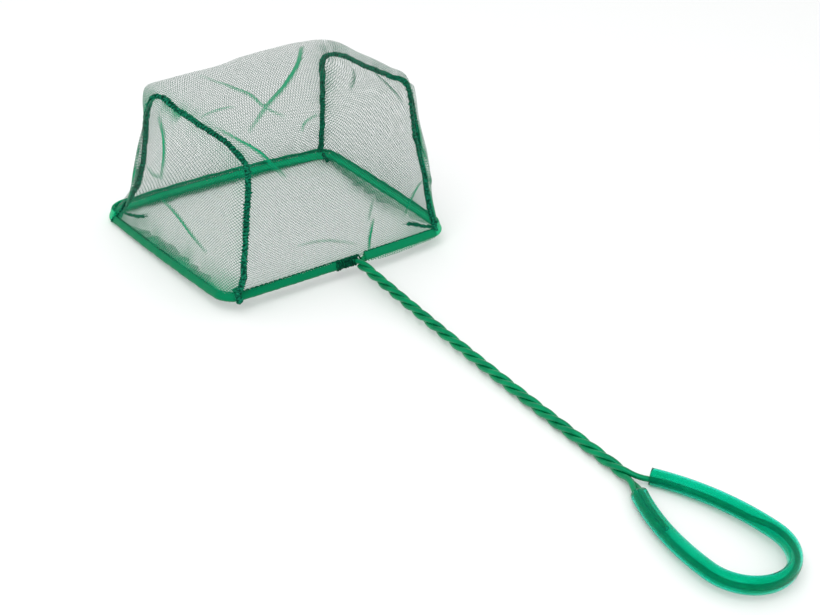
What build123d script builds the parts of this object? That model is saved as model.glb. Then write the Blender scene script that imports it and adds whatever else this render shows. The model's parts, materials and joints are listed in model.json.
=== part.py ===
"""Aquarium fish net: a hoop, twisted handle and hanging loop bent from one coated wire, and a sewn mesh bag.

The net is drawn with its hoop flat: +X across the hoop, +Y away from the handle, +Z up the bag, and the
centre of the hoop wire at Z = 0. At the end every piece is tipped and shifted together, so that the net lies
on the floor on the back of its hoop and one mouth of its sleeve. Wires and tubes have many-sided sections and
run in short chords, which keeps their meshes light.
"""
from build123d import *
import math
import os

# Wire: a steel core in a vinyl jacket
WIRE_D = 2.25
CORE_D = 1.6
CORE_FIT = 0.02

# Hoop, measured between wire centres
HOOP_WIDTH = 127.0
HOOP_DEPTH = 112.0
HOOP_FLARE = 10.0
HOOP_CORNER_R = 8.0
FRONT_BOW = 1.0
BACK_BOW = 4.0
SIDE_BOW = 1.0

# Handle: three strands laid left-handed around a slightly sagging axis
HANDLE_OFFSET = 8.0
HANDLE_LENGTH = 181.0
HANDLE_DROP = 4.4
HANDLE_SAG = 2.0
FULL_TURNS = 6
STRAND_GAP = 0.05
TWIST_IN = 3.2
TWIST_OUT = 3.8
HOOP_BEND = 4.2
HOOP_PHASES = (120.0, 0.0, 240.0)
LOOP_PHASE = 65.0

# Hanging loop, measured on the sleeve's centre-line from the neck
LOOP_LENGTH = 66.6
LOOP_END_R = 17.4
NECK_HALF = 2.76
LOOP_OFFSET = 2.7
SLEEVE_OD = 6.7
SLEEVE_BORE = 5.2
RIGHT_MOUTH = 2.2
LEFT_MOUTH = 7.3
TAIL_END = 26.0
PAIR_RUN = 5.0
WIRE_SEAT = 0.1

# Bag: mesh cloth, drawn in towards its crown, swollen in front and behind, lower and further forward at the left
CLOTH_T = 0.5
HEM_FIT = 0.05
CLOTH_GAP = 0.15
BAG_HEIGHT = 72.0
BAG_CROWN = 8.5
BAG_TILT = 4.0
FRONT_LEAN = 3.7
SHOULDER_DROP = 14.0
SIDE_TAPER = 11.0
EDGE_ROUND = 1.5
CLOTH_BOW = 4.0
WAIST_FRONT = 1.0
WAIST_BACK = 14.0
SHOULDER_FRONT = 5.0
SHOULDER_BACK = 18.0
EDGE_FRONT = 10.0
EDGE_BACK = 20.5
CROWN_FRONT = 24.0
CROWN_BACK = 40.0
CROWN_HALF = 15.0
SHOULDER_CORNER_R = 15.0

# Sewing: overlocked seams, hem stitching, thread tails and the tack beside the handle
SEAM_W = 3.6
SEAM_T = 1.2
SEAM_INSET = 4.5
HEM_SLIT = 5.2
STITCH_W = 0.9
STITCH_T = 0.5
THREAD_D = 1.6
FRONT_TAIL_GAP = 0.25
BACK_TAIL_GAP = 0.75
TACK_LENGTH = 6.0
TACK_T = 0.6

# Sides of the sections, chords in each sharp turn and in a gentle bow, and the twist in one chord of a strand
WIRE_SIDES = 10
CORE_SIDES = 5
SLEEVE_SIDES = 12
HEM_SIDES = 8
THREAD_SIDES = 8
SHARP_TURN = 60.0
BEND_RUNS = 4
BOW_RUNS = 3
LAY_STEP = 45.0
SQUARE_RUN = 0.4

WIRE_R = WIRE_D / 2
LAY_R = (WIRE_D + STRAND_GAP) / math.sqrt(3) / math.cos(math.radians(LAY_STEP / 2))
HEM_BORE_R = WIRE_R + HEM_FIT
HEM_R = HEM_BORE_R + CLOTH_T
FRONT_HALF = (HOOP_WIDTH - HOOP_FLARE / 2) / 2
BACK_HALF = (HOOP_WIDTH + HOOP_FLARE / 2) / 2
FRONT_Y = -HOOP_DEPTH / 2
BACK_Y = HOOP_DEPTH / 2
FRONT_SWELL = FRONT_BOW / (2 * FRONT_HALF)
BACK_SWELL = BACK_BOW / (2 * BACK_HALF)
SIDE_SWELL = SIDE_BOW / HOOP_DEPTH
CLOTH_SWELL = CLOTH_BOW / HOOP_WIDTH
SHOULDER_Z = BAG_HEIGHT - SHOULDER_DROP
CROWN_Z = BAG_HEIGHT + BAG_CROWN


# Curves
def tangent_arc(start, heading, end):
    """An arc from start to end that leaves along heading."""
    return Edge.make_tangent_arc(start, heading, end)


def biarc(start, heading, end, arrival):
    """Two arcs that meet smoothly, leaving start along heading and reaching end along arrival."""
    chord = end - start
    lead = chord.dot(heading + arrival)
    spread = 2 * (1 - heading.dot(arrival))
    reach = chord.dot(chord) / (math.sqrt(lead ** 2 + spread * chord.dot(chord)) + lead)
    first = start + heading * reach
    second = end - arrival * reach
    meeting = (first + second) * 0.5
    return [
        tangent_arc(start, heading, meeting),
        tangent_arc(meeting, (second - first).normalized(), end),
    ]


def bowed(start, end, swell):
    """An arc from start to end that swells to its right by a share of its chord."""
    right = Vector(end.Y - start.Y, start.X - end.X, 0)
    return Edge.make_three_point_arc(start, (start + end) * 0.5 + right * swell, end)


def chords(edges):
    """The points of arcs that follow one another, broken into chords."""
    path = Wire(edges)
    points = [path @ 0]
    done = 0.0
    for arc in path.order_edges():
        bends = int(math.degrees(arc.length / arc.radius) / SHARP_TURN)
        runs = BEND_RUNS * bends if bends else BOW_RUNS
        for i in range(1, runs + 1):
            points.append(path.position_at(done + arc.length * i / runs, position_mode=PositionMode.LENGTH))
        done += arc.length
    return points


def squared(points, leaving, arriving):
    """A chain of chords whose first and last runs follow the given headings, to meet its neighbours."""
    start = points[0]
    end = points[-1]
    return Polyline(start, start + leaving * SQUARE_RUN, *points[1:-1], end - arriving * SQUARE_RUN, end)


def swept(section, path):
    """A section drawn on XY, carried along a chain of chords with mitred corners."""
    profile = Plane(origin=path @ 0, z_dir=path % 0) * section
    return sweep(profile, path=path, transition=Transition.RIGHT)


def tube(outer_r, bore_r, sides):
    """The section of a tube with flat sides, its bore clear of a round of bore_r."""
    return RegularPolygon(outer_r, sides) - RegularPolygon(bore_r, sides, major_radius=False)


def front_state(x):
    """The point and the heading towards +X on the hoop's bowed front side."""
    radius = (FRONT_HALF ** 2 + FRONT_BOW ** 2) / (2 * FRONT_BOW)
    rise = math.sqrt(radius ** 2 - x ** 2)
    point = Vector(x, FRONT_Y - FRONT_BOW + radius - rise, 0)
    return point, Vector(rise, x, 0).normalized()


# Handle
DROP = math.radians(HANDLE_DROP)
ACROSS = Vector(1, 0, 0)
ALONG = Vector(0, -math.cos(DROP), -math.sin(DROP))
UPRIGHT = Vector(0, -math.sin(DROP), math.cos(DROP))
HANDLE_START = front_state(HANDLE_OFFSET)[0]
NECK = HANDLE_START + ALONG * HANDLE_LENGTH
TWIST_END = HANDLE_LENGTH - TWIST_OUT
TWIST_DEGREES = 360.0 * FULL_TURNS + HOOP_PHASES[2] - LOOP_PHASE


def strand_state(strand, t):
    """The point and heading on a strand's centre-line, t along the handle from the hoop."""
    share = t / HANDLE_LENGTH
    sag = 4 * HANDLE_SAG
    axis = HANDLE_START + ALONG * t - UPRIGHT * (sag * share * (1 - share))
    slope = ALONG - UPRIGHT * (sag * (1 - 2 * share) / HANDLE_LENGTH)
    rate = -TWIST_DEGREES / (TWIST_END - TWIST_IN)
    angle = math.radians(HOOP_PHASES[strand] + rate * (t - TWIST_IN))
    point = axis + (ACROSS * math.cos(angle) + UPRIGHT * math.sin(angle)) * LAY_R
    turning = (UPRIGHT * math.cos(angle) - ACROSS * math.sin(angle)) * (LAY_R * math.radians(rate))
    return point, (slope + turning).normalized()


def strand_points(strand):
    """The corners of a strand's chords."""
    steps = round(TWIST_DEGREES / LAY_STEP)
    run = (TWIST_END - TWIST_IN) / steps
    return [strand_state(strand, TWIST_IN + run * i)[0] for i in range(steps + 1)]


def strand_path(strand):
    """A strand between the hoop and the loop."""
    leaving = strand_state(strand, TWIST_IN)[1]
    arriving = strand_state(strand, TWIST_END)[1]
    return squared(strand_points(strand), leaving, arriving)


# Hanging loop, in a plane parallel to the hoop
LOOP_CENTRE = LOOP_LENGTH - LOOP_END_R
LOOP_SPREAD = LOOP_END_R - NECK_HALF
LOOP_BRANCH_R = (LOOP_CENTRE ** 2 + LOOP_SPREAD ** 2) / (2 * LOOP_SPREAD)
PAIR_OFFSET = (WIRE_D + WIRE_SEAT) / 2
MOUTH_SEAT = (SLEEVE_BORE - WIRE_D) / 2 - WIRE_SEAT


def loop_point(x, v):
    """A point x right of the loop's middle and v past the neck."""
    return NECK + Vector(LOOP_OFFSET + x, -v, 0)


def branch_state(side, v, offset):
    """The point and the heading away from the neck on a branch, moved outward by offset."""
    lean = math.asin((LOOP_CENTRE - v) / LOOP_BRANCH_R)
    radius = LOOP_BRANCH_R + offset
    x = side * (LOOP_END_R - LOOP_BRANCH_R + radius * math.cos(lean))
    point = loop_point(x, LOOP_CENTRE - radius * math.sin(lean))
    return point, Vector(side * math.sin(lean), -math.cos(lean), 0)


WIDEST_RIGHT = loop_point(LOOP_END_R, LOOP_CENTRE)
WIDEST_LEFT = loop_point(-LOOP_END_R, LOOP_CENTRE)
OUTWARD = Vector(0, -1, 0)
HOMEWARD = Vector(0, 1, 0)


def sleeve_path():
    """The sleeve's centre-line, from its right mouth round the end of the loop to its left mouth."""
    right, heading = branch_state(1, RIGHT_MOUTH, 0)
    left, left_heading = branch_state(-1, LEFT_MOUTH, 0)
    points = chords([
        tangent_arc(right, heading, WIDEST_RIGHT),
        tangent_arc(WIDEST_RIGHT, OUTWARD, WIDEST_LEFT),
        tangent_arc(WIDEST_LEFT, HOMEWARD, left),
    ])
    return squared(points, heading, left_heading * -1)


def loop_wire_path():
    """The wire from the third strand round the loop and back to the second strand."""
    mouth, mouth_heading = branch_state(1, RIGHT_MOUTH, -MOUTH_SEAT)
    beside, beside_heading = branch_state(-1, TAIL_END + PAIR_RUN, PAIR_OFFSET)
    left, left_heading = branch_state(-1, LEFT_MOUTH, PAIR_OFFSET)
    leaving, leaving_heading = strand_state(2, TWIST_END)
    joining, joining_heading = strand_state(1, TWIST_END)
    points = chords(
        biarc(leaving, leaving_heading, mouth, mouth_heading)
        + biarc(mouth, mouth_heading, WIDEST_RIGHT, OUTWARD)
        + [tangent_arc(WIDEST_RIGHT, OUTWARD, WIDEST_LEFT)]
        + biarc(WIDEST_LEFT, HOMEWARD, beside, beside_heading * -1)
        + [tangent_arc(beside, beside_heading * -1, left)]
        + biarc(left, left_heading * -1, joining, joining_heading * -1)
    )
    return squared(points, leaving_heading, joining_heading * -1)


def first_strand_path():
    """The first strand with its tail, which ends inside the sleeve beside the loop wire."""
    start_heading = strand_state(0, TWIST_IN)[1]
    leaving, leaving_heading = strand_state(0, TWIST_END)
    mouth, mouth_heading = branch_state(-1, LEFT_MOUTH, -PAIR_OFFSET)
    tail, tail_heading = branch_state(-1, TAIL_END, -PAIR_OFFSET)
    bend = biarc(leaving, leaving_heading, mouth, mouth_heading)
    points = chords(bend + [tangent_arc(mouth, mouth_heading, tail)])
    return squared(strand_points(0) + points[1:], start_heading, tail_heading)


# Hoop
def hoop_sides():
    """The corners of the hoop's chords, from the left of the handle round to the right of it."""
    left_end, left_heading = front_state(HANDLE_OFFSET - HOOP_BEND)
    right_end, right_heading = front_state(HANDLE_OFFSET + HOOP_BEND)
    front_left = Vector(-FRONT_HALF, FRONT_Y, 0)
    front_right = Vector(FRONT_HALF, FRONT_Y, 0)
    back_left = Vector(-BACK_HALF, BACK_Y, 0)
    back_right = Vector(BACK_HALF, BACK_Y, 0)
    sides = Wire([
        tangent_arc(left_end, left_heading * -1, front_left),
        bowed(front_left, back_left, -SIDE_SWELL),
        bowed(back_left, back_right, -BACK_SWELL),
        bowed(back_right, front_right, -SIDE_SWELL),
        tangent_arc(right_end, right_heading, front_right),
    ])
    bends = [
        sides.vertices().sort_by_distance(corner)[0]
        for corner in (front_left, back_left, back_right, front_right)
    ]
    return chords(sides.fillet_2d(HOOP_CORNER_R, bends).edges())


def hoop_path():
    """The wire from the first strand round the hoop, by its left side, to the second strand."""
    left_end, left_heading = front_state(HANDLE_OFFSET - HOOP_BEND)
    right_end, right_heading = front_state(HANDLE_OFFSET + HOOP_BEND)
    first, first_heading = strand_state(0, TWIST_IN)
    second, second_heading = strand_state(1, TWIST_IN)
    first_bend = chords(biarc(first, first_heading * -1, left_end, left_heading * -1))
    second_bend = chords(biarc(right_end, right_heading * -1, second, second_heading))
    points = first_bend[:-1] + hoop_sides() + second_bend[1:]
    return squared(points, first_heading * -1, second_heading)


# Bag
def ring(z, side, front, back, corner, front_swell, back_swell):
    """A section of the bag at height z, drawn in from the hoop wire's centre-line and swollen front and back.

    Up to the shoulder it tilts more and more down to the left, and the left of its front comes forward.
    """
    rise = min(z / SHOULDER_Z, 1.0)
    tilt = rise * math.tan(math.radians(BAG_TILT))
    half = FRONT_HALF - side
    lean = rise * FRONT_LEAN * half / FRONT_HALF
    corners = [
        Vector(-half, FRONT_Y + front - lean, z),
        Vector(half, FRONT_Y + front + lean, z),
        Vector(BACK_HALF - side, BACK_Y - back, z),
        Vector(-BACK_HALF + side, BACK_Y - back, z),
    ]
    swells = (front_swell, SIDE_SWELL, back_swell, SIDE_SWELL)
    outline = Wire([bowed(corners[i], corners[(i + 1) % 4], swells[i]) for i in range(4)])
    rounded = outline.fillet_2d(corner, outline.vertices())
    return [point + Vector(0, 0, tilt * point.X) for point in chords(rounded.edges())[:-1]]


def faceted(sections):
    """A closed solid of flat facets over level sections that have as many corners each."""
    facets = [Face(Wire.make_polygon(sections[0])), Face(Wire.make_polygon(sections[-1]))]
    for low, high in zip(sections, sections[1:]):
        for i in range(len(low)):
            facets.append(Face(Wire.make_polygon([low[i - 1], low[i], high[i]])))
            facets.append(Face(Wire.make_polygon([low[i - 1], high[i], high[i - 1]])))
    return Solid(Shell(facets))


def bag(grow):
    """The closed outer form of the bag, from the hoop to its crown, moved out by grow."""
    start = HEM_R + CLOTH_GAP - grow
    waist_z = SHOULDER_Z / 2
    side_slope = SIDE_TAPER / BAG_HEIGHT
    waist_r = (HOOP_CORNER_R + SHOULDER_CORNER_R) / 2 + grow
    edge_r = SHOULDER_CORNER_R + grow
    edge_side = SIDE_TAPER + EDGE_ROUND
    crown_side = HOOP_WIDTH / 2 - CROWN_HALF
    waist = (side_slope * waist_z - grow, WAIST_FRONT - grow, WAIST_BACK - grow)
    shoulder = (side_slope * SHOULDER_Z - grow, SHOULDER_FRONT - grow, SHOULDER_BACK - grow)
    edge = (edge_side - grow, EDGE_FRONT - grow, EDGE_BACK - grow)
    crown = (crown_side - grow, CROWN_FRONT - grow, CROWN_BACK - grow)
    sections = [
        ring(0, start, start, start, HOOP_CORNER_R - start, FRONT_SWELL, BACK_SWELL),
        ring(waist_z, *waist, waist_r, CLOTH_SWELL, CLOTH_SWELL),
        ring(SHOULDER_Z, *shoulder, edge_r, CLOTH_SWELL, CLOTH_SWELL),
        ring(BAG_HEIGHT + grow, *edge, edge_r, CLOTH_SWELL, CLOTH_SWELL),
        ring(CROWN_Z + grow, *crown, CROWN_HALF / 2, CLOTH_SWELL, CLOTH_SWELL),
    ]
    return faceted(sections)


def seam_plane(side):
    """The leaning plane of a U seam, its normal pointing out of the bag at that side."""
    front = Vector(side * (FRONT_HALF - SEAM_INSET), FRONT_Y, 0)
    back = Vector(side * (BACK_HALF - SEAM_INSET), BACK_Y, 0)
    top = (front + back) * 0.5 + Vector(-side * SIDE_TAPER, 0, BAG_HEIGHT)
    normal = (back - front).cross(top - front) * side
    return Plane(origin=front, z_dir=normal)


def beyond(solid, plane):
    """The part of a solid on the side that a plane's normal points to."""
    return split(solid, bisect_by=plane, keep=Keep.TOP)


def behind(solid, plane):
    """The part of a solid on the side that a plane's normal points away from."""
    return split(solid, bisect_by=plane, keep=Keep.BOTTOM)


def bag_skin(inner, outer):
    """A skin round the bag between two distances from the cloth's outer face."""
    return bag(outer) - bag(inner)


def below_top(solid, height):
    """What a solid has under a level height."""
    return behind(solid, Plane.XY.offset(height))


def above_hem(solid):
    """What a solid has above the hem."""
    return beyond(solid, Plane.XY.offset(HEM_R + CLOTH_GAP))


def by_side(band, clear):
    """A band round the hoop as left, right, back, front left and front right runs, clear of both seams."""
    left = seam_plane(-1)
    right = seam_plane(1)
    middle = behind(behind(band, left.offset(-clear)), right.offset(-clear))
    front = beyond(middle, Plane.XZ)
    slit_left = Plane(origin=(HANDLE_OFFSET - HEM_SLIT, 0, 0), z_dir=(1, 0, 0))
    slit_right = Plane(origin=(HANDLE_OFFSET + HEM_SLIT, 0, 0), z_dir=(1, 0, 0))
    return {
        "left": beyond(band, left.offset(clear)),
        "right": beyond(band, right.offset(clear)),
        "back": behind(middle, Plane.XZ),
        "front_left": behind(front, slit_left),
        "front_right": beyond(front, slit_right),
    }


def seam(side):
    """An overlocked U seam: a band that rides on the bag's edge from hem to hem."""
    slab = seam_plane(side) * Box(4 * HOOP_WIDTH, 4 * HOOP_WIDTH, SEAM_W)
    return above_hem(bag_skin(CLOTH_GAP, CLOTH_GAP + SEAM_T) & slab)


def thread_tail(side, end, heading, length):
    """A loose thread end inside a corner of the mouth: side and end are the corner's signs.

    Behind, the cloth leans in over the thread, which therefore starts further from its foot.
    """
    corner_x = FRONT_HALF if end < 0 else BACK_HALF
    gap = FRONT_TAIL_GAP if end < 0 else BACK_TAIL_GAP
    wire_to_thread = HEM_R + CLOTH_GAP + CLOTH_T + gap
    inset = HOOP_CORNER_R - (HOOP_CORNER_R - wire_to_thread) / math.sqrt(2)
    start = Vector(side * (corner_x - inset), end * (HOOP_DEPTH / 2 - inset), THREAD_D / 2)
    run = Vector(math.cos(math.radians(heading)), math.sin(math.radians(heading)), 0)
    return extrude(Plane(origin=start, z_dir=run) * RegularPolygon(THREAD_D / 2, THREAD_SIDES), length)


def tack():
    """The thread that closes the hem beside the handle, wrapped round the outside of the front left hem."""
    end = HANDLE_OFFSET - HEM_SLIT
    start, heading = front_state(end - TACK_LENGTH)
    wrap = tube(HEM_R + CLOTH_GAP + TACK_T, HEM_R + CLOTH_GAP, HEM_SIDES)
    sleeve = extrude(Plane(origin=start, z_dir=heading) * wrap, TACK_LENGTH)
    return beyond(sleeve, Plane(origin=start, z_dir=(0, -1, 0)))


def coated(path):
    """A stretch of wire: its vinyl jacket and its steel core."""
    bore = RegularPolygon(CORE_D / 2 + CORE_FIT, CORE_SIDES)
    jacket = swept(RegularPolygon(WIRE_R, WIRE_SIDES) - bore, path)
    return jacket, swept(RegularPolygon(CORE_D / 2, CORE_SIDES), path)


# Every piece by its name
pieces = {}
WIRES = {
    "hoop": hoop_path(),
    "strand_1": first_strand_path(),
    "strand_2": strand_path(1),
    "strand_3": strand_path(2),
    "loop": loop_wire_path(),
}
for name, path in WIRES.items():
    pieces[name + "_jacket"], pieces[name + "_core"] = coated(path)
pieces["grip_sleeve"] = swept(tube(SLEEVE_OD / 2, SLEEVE_BORE / 2, SLEEVE_SIDES), sleeve_path())

cloth = bag_skin(-CLOTH_T, 0)
pieces["left_panel"] = beyond(cloth, seam_plane(-1))
pieces["right_panel"] = beyond(cloth, seam_plane(1))
pieces["centre_panel"] = behind(behind(cloth, seam_plane(-1)), seam_plane(1))
pieces["left_seam"] = seam(-1)
pieces["right_seam"] = seam(1)

hem = swept(tube(HEM_R, HEM_BORE_R, HEM_SIDES), Polyline(*hoop_sides()))
for side, run in by_side(hem, 0).items():
    pieces[side + "_hem"] = run
stitching = below_top(
    above_hem(bag_skin(CLOTH_GAP, CLOTH_GAP + STITCH_T)),
    HEM_R + CLOTH_GAP + STITCH_W,
)
for side, run in by_side(stitching, SEAM_W / 2 + CLOTH_GAP).items():
    pieces[side + "_stitching"] = run

pieces["left_front_tail"] = thread_tail(side=-1, end=-1, heading=45.0, length=4.0)
pieces["left_back_tail"] = thread_tail(side=-1, end=1, heading=-38.0, length=9.0)
pieces["right_front_tail"] = thread_tail(side=1, end=-1, heading=119.0, length=12.0)
pieces["right_back_tail"] = thread_tail(side=1, end=1, heading=-102.0, length=8.0)
pieces["handle_tack"] = tack()

# The net lies on the back of its hoop and the right mouth of its sleeve, the middle of its box at the origin
back_edge = Vector(0, BACK_Y + BACK_BOW, 0)
mouth_edge = branch_state(1, RIGHT_MOUTH, 0)[0]
run = back_edge.Y - mouth_edge.Y
rise = back_edge.Z - mouth_edge.Z
tip = math.atan2(rise, run) + math.asin((SLEEVE_OD / 2 - HEM_R) / math.hypot(run, rise))
tipped = Rot(X=-math.degrees(tip))
bounds = Compound(children=[tipped * piece for piece in pieces.values()]).bounding_box()
place = Pos(-bounds.center().X, -bounds.center().Y, -bounds.min.Z) * tipped

os.makedirs("parts", exist_ok=True)
for name, piece in pieces.items():
    export_step(place * piece, "parts/" + name + ".step")
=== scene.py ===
# %% [markdown]
# # An aquarium fish net
# A small hand net: a hoop, a twisted handle and a hanging loop bent from one green coated wire, a soft
# sleeve over the loop, and a bag sewn from three pieces of fine mesh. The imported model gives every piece
# its place. This lesson gives each one its look: round wire, see-through cloth with folds, and wrapped
# thread on the seams.

# %% Load the frame
import json
import math

import bpy
from mathutils import Matrix, Vector, noise
from mathutils.geometry import interpolate_bezier, intersect_point_line
from mathutils.kdtree import KDTree

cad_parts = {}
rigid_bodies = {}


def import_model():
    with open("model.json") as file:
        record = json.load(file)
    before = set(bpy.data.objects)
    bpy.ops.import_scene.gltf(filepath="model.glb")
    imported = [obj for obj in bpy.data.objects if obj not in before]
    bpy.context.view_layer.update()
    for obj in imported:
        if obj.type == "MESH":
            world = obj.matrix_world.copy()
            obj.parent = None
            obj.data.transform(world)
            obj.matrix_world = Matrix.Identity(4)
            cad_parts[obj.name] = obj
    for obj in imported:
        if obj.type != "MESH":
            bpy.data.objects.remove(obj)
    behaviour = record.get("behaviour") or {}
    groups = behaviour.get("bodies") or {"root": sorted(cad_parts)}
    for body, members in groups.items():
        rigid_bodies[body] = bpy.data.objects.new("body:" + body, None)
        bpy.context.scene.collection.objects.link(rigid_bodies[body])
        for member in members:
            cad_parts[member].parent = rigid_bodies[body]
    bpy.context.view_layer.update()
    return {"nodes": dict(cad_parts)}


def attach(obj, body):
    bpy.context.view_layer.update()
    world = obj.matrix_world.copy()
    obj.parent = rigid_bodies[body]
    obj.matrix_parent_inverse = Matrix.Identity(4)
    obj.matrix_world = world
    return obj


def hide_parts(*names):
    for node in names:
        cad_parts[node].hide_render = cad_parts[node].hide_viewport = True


# Vector noise starts from the clock unless it has a seed
SEED = 1
noise.seed_set(SEED)

for leftover in list(bpy.data.objects):
    bpy.data.objects.remove(leftover)
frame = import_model()
print("pieces in the frame:", len(frame["nodes"]))

# %% [markdown]
# ## The hoop's own frame
# The net lies a little tipped: on the back of its hoop and on one end of the sleeve. Sizes are much easier
# to think about with the hoop flat, so every place below is in millimetres in the hoop's frame: +X across
# the hoop, +Y away from the handle, +Z up the bag. One matrix takes such a place to where the net lies, in
# metres.

# %% Place the hoop's frame
MM = 0.001
TIP = math.radians(2.973)
HOOP_CENTRE = Vector((0, 123.25, 4.78)) * MM
PLACE = Matrix.Translation(HOOP_CENTRE) @ Matrix.Rotation(-TIP, 4, "X") @ Matrix.Scale(MM, 4)


def placed(point):
    """A place in the hoop's frame, where it lies in the room."""
    return PLACE @ Vector(point)


print("hoop centre in the room:", tuple(round(v, 4) for v in HOOP_CENTRE))

# %% [markdown]
# ## Camera
# The photographer stood to the left of the handle and looked down by about thirty degrees. The four corners
# of the hoop fix that view: its two angles, a roll of one degree, the distance and the lens.

# %% Camera
CAMERA_AZIMUTH = math.radians(-37.22)
CAMERA_ELEVATION = math.radians(30.23)
CAMERA_ROLL = math.radians(0.99)
CAMERA_DISTANCE = 597.7
CAMERA_RIGHT = 65.36
CAMERA_DOWN = 43.55
FOCAL_PIXELS = 1201.0
PHOTO_WIDTH = 820
SENSOR = 36.0
NEAR_CLIP = 0.01

toward = Vector((
    math.sin(CAMERA_AZIMUTH) * math.cos(CAMERA_ELEVATION),
    -math.cos(CAMERA_AZIMUTH) * math.cos(CAMERA_ELEVATION),
    math.sin(CAMERA_ELEVATION),
))
level = Vector((math.cos(CAMERA_AZIMUTH), math.sin(CAMERA_AZIMUTH), 0))
upward = toward.cross(level)
right = level * math.cos(CAMERA_ROLL) + upward * math.sin(CAMERA_ROLL)
above = upward * math.cos(CAMERA_ROLL) - level * math.sin(CAMERA_ROLL)
stand = right * CAMERA_RIGHT - above * CAMERA_DOWN + toward * CAMERA_DISTANCE

bpy.ops.object.camera_add()
camera = bpy.context.object
camera.name = "camera"
turn = Matrix((right, above, toward)).transposed()
camera.matrix_world = Matrix.Translation(placed(stand)) @ Matrix.Rotation(-TIP, 4, "X") @ turn.to_4x4()
camera.data.sensor_width = SENSOR
camera.data.lens = FOCAL_PIXELS * SENSOR / PHOTO_WIDTH
camera.data.clip_start = NEAR_CLIP
bpy.context.scene.camera = camera
print("lens", round(camera.data.lens, 1), "mm")

# %% [markdown]
# ## A grid rolled into a tube
# Wire, thread, hem and sleeve are all long round things. Each starts as a flat grid, which already carries
# a UV map: U runs along the piece and V around it. Every row of the grid is then wrapped round one point of
# a path, the two long edges are merged, the ends are filled and the normals are turned outwards.

# %% Rolling helper
ROUND = 2 * math.pi
TUBE_MERGE = 1e-7
SHARP_EDGE = math.radians(50)


def deselect():
    """Leaves nothing selected, so that an operator acts on the new piece alone."""
    bpy.ops.object.select_all(action="DESELECT")


def tangents(path):
    """The direction of travel at each point of a path."""
    last = len(path) - 1
    return [(path[min(i + 1, last)] - path[max(i - 1, 0)]).normalized() for i in range(len(path))]


def lengths(path):
    """How far along a path each of its points is."""
    total = [0.0]
    for before, after in zip(path, path[1:]):
        total.append(total[-1] + (after - before).length)
    return total


def rolled(name, path, ups, section, sides, capped=True):
    """A tube along a path.

    The section says how far to go sideways and up, for a share along the path and an angle around it.
    """
    deselect()
    last = len(path) - 1
    bpy.ops.mesh.primitive_grid_add(x_subdivisions=last, y_subdivisions=sides, size=1)
    piece = bpy.context.object
    piece.name = name
    piece.data.name = name
    travel = tangents(path)
    sideways = [t.cross(u).normalized() for t, u in zip(travel, ups)]
    upwards = [s.cross(t) for s, t in zip(sideways, travel)]
    for corner in piece.data.vertices:
        ring = round((corner.co.x + 0.5) * last)
        angle = (corner.co.y + 0.5) * ROUND
        out, up = section(ring / last, angle)
        corner.co = placed(path[ring] + sideways[ring] * out + upwards[ring] * up)
    along = lengths(path)
    around = (Vector(section(0.5, 0)) - Vector(section(0.5, math.pi))).length * math.pi / 2
    for loop in piece.data.uv_layers.active.data:
        loop.uv = (along[round(loop.uv.x * last)], loop.uv.y * around)
    bpy.ops.object.mode_set(mode="EDIT")
    bpy.ops.mesh.select_all(action="SELECT")
    bpy.ops.mesh.remove_doubles(threshold=TUBE_MERGE)
    if capped:
        bpy.ops.mesh.select_all(action="DESELECT")
        bpy.ops.mesh.select_non_manifold()
        bpy.ops.mesh.fill_holes(sides=sides)
        bpy.ops.mesh.select_all(action="SELECT")
    bpy.ops.mesh.normals_make_consistent(inside=False)
    bpy.ops.object.mode_set(mode="OBJECT")
    bpy.ops.object.shade_smooth_by_angle(angle=SHARP_EDGE)
    return piece


def circle(radius):
    """A round section."""
    return lambda share, angle: (radius * math.cos(angle), radius * math.sin(angle))


def painted(piece, material):
    """Gives a piece its material."""
    piece.data.materials.clear()
    piece.data.materials.append(material)
    return piece


def finish_piece(piece, slot, *nodes):
    """Ties a piece to the nodes that it stands for."""
    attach(piece, "root")
    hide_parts(*nodes)
    return piece


UP = Vector((0, 0, 1))

# %% [markdown]
# ## Materials
# Four finishes cover the net: glossy vinyl on the wire, clear dyed vinyl on the sleeve, twisted thread on
# the seams and fine mesh on the bag. The steel inside the wire has a fifth. A helper makes an empty
# material with one shader, and each finish then adds the few nodes that give it its own grain.

# %% Material helpers
GREEN_GLEAM = (0.1, 1.0, 0.65)
WHITE_GLEAM = (1.0, 1.0, 1.0)
SOFT_GLEAM = 0.2


def new_material(name, colour, roughness, tint=GREEN_GLEAM):
    """A material with one principled shader, whose gleam is tinted as the dyed plastic's is."""
    material = bpy.data.materials.new(name)
    material.use_nodes = True
    tree = material.node_tree
    shader = tree.nodes["Principled BSDF"]
    shader.inputs["Base Color"].default_value = (*colour, 1)
    shader.inputs["Roughness"].default_value = roughness
    shader.inputs["Specular IOR Level"].default_value = SOFT_GLEAM
    shader.inputs["Specular Tint"].default_value = (*tint, 1)
    return material, tree, shader


def node(tree, kind, **values):
    """A node with some of its sockets set: a name is a socket or a property."""
    made = tree.nodes.new(kind)
    for key, value in values.items():
        if key in made.inputs:
            made.inputs[key].default_value = value
        else:
            setattr(made, key, value)
    return made


def maths(tree, operation, first, second):
    """The result of an operation on two values, each a socket or a number."""
    made = tree.nodes.new("ShaderNodeMath")
    made.operation = operation
    for socket, value in zip(made.inputs, (first, second)):
        if isinstance(value, (int, float)):
            socket.default_value = value
        else:
            tree.links.new(value, socket)
    return made.outputs[0]


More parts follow.
